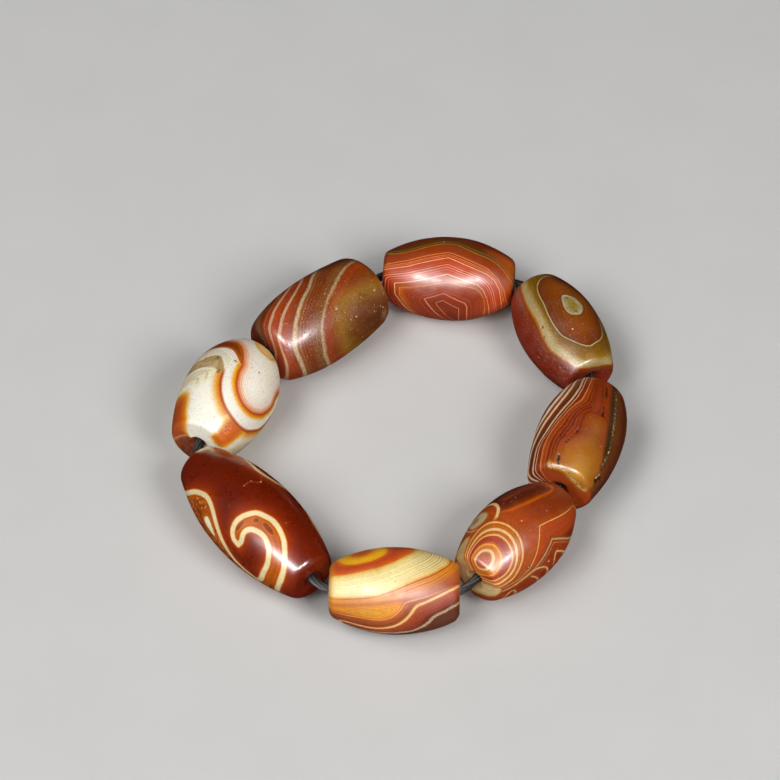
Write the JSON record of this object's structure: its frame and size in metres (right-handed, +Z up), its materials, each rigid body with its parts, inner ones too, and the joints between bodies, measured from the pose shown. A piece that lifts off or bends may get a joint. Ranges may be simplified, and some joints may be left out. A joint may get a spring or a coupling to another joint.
{
  "type": "dzi bead bracelet",
  "caption": "Bracelet of barrel-shaped drilled agate beads, one etched in the dzi manner, on a loop of dark elastic cord, lying flat.",
  "frame": {"origin": "on the surface that the bracelet lies on, under the middle of its box", "axes": "+Z up through the wrist hole, +Y towards the hexagon bead at the far side, +X to the viewer's right"},
  "size_m": [0.083, 0.0898, 0.0172],
  "materials": {
    "hexagon_agate": "polished orange-red carnelian with fine pale hexagon bands",
    "eye_agate": "polished brown-orange agate with a cream-ringed eye",
    "line_agate": "polished amber agate with fine white and dark lines",
    "ring_agate": "polished orange agate with concentric cream rings",
    "cream_agate": "polished cream and orange banded agate",
    "etched_agate": "glossy dark red-brown agate with etched cream lines",
    "white_agate": "polished ivory agate with orange swirls",
    "striped_agate": "polished brown agate with cream stripes, finely pitted",
    "cord": "dark elastic of many strands"
  },
  "bodies": {
    "root": {"hexagon_bead": "hexagon_agate", "eye_bead": "eye_agate", "line_bead": "line_agate", "ring_bead": "ring_agate", "cream_bead": "cream_agate", "etched_bead": "etched_agate", "white_bead": "white_agate", "striped_bead": "striped_agate", "elastic_cord": "cord"}
  },
  "joints": []
}
